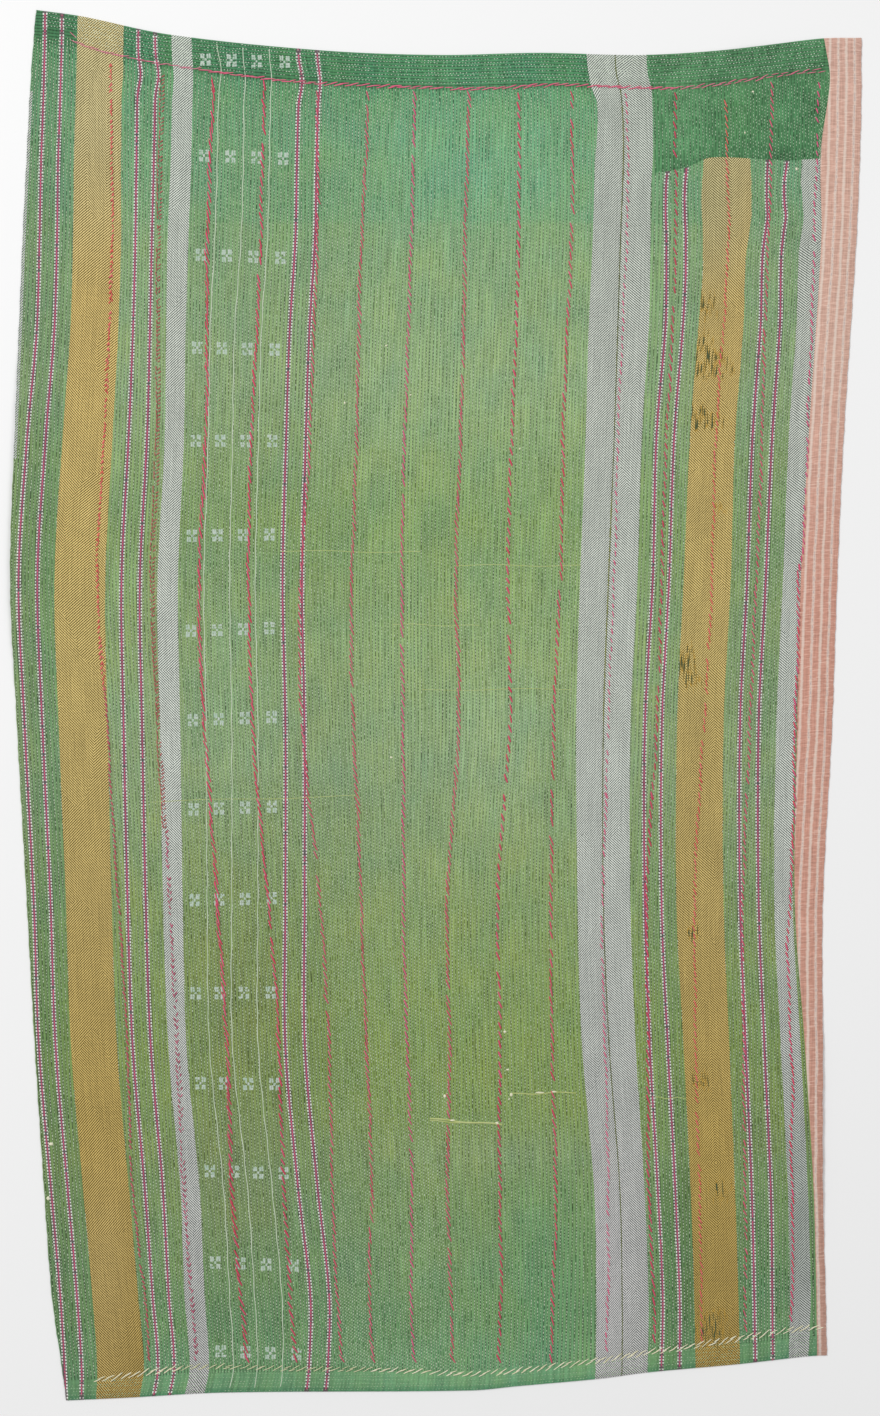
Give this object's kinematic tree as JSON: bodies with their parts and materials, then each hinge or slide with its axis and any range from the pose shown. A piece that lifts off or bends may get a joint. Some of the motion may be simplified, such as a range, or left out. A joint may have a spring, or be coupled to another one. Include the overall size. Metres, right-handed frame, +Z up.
{
  "type": "kantha quilt",
  "caption": "Thin stitched quilt of worn striped sari cotton, pieced lengthways and laid out flat, with bold quilting rows, turned hems, a plain corner patch and a side strip.",
  "frame": {"origin": "on the surface that the quilt lies on, under the middle of its outline", "axes": "+Y along the quilt towards its top edge, +X across it towards the side strip, +Z up from its underside to its face"},
  "size_m": [1.191, 1.9458, 0.0072],
  "materials": {
    "sari_cotton": "matt handloom cotton, washed sage green with mustard, grey and pinstripe bands",
    "border_cotton": "matt handloom cotton, green with mustard and grey bands",
    "patch_cotton": "matt plain cotton, deeper green",
    "strip_cotton": "matt plain cotton, salmon with cream stripes",
    "running_thread": "off-white cotton sewing thread",
    "bold_thread": "crimson cotton quilting thread",
    "hem_thread": "cream cotton thread, laid double"
  },
  "bodies": {
    "root": {"sari_panel": "sari_cotton", "border_panel": "border_cotton", "corner_patch": "patch_cotton", "side_strip": "strip_cotton"}
  },
  "joints": []
}
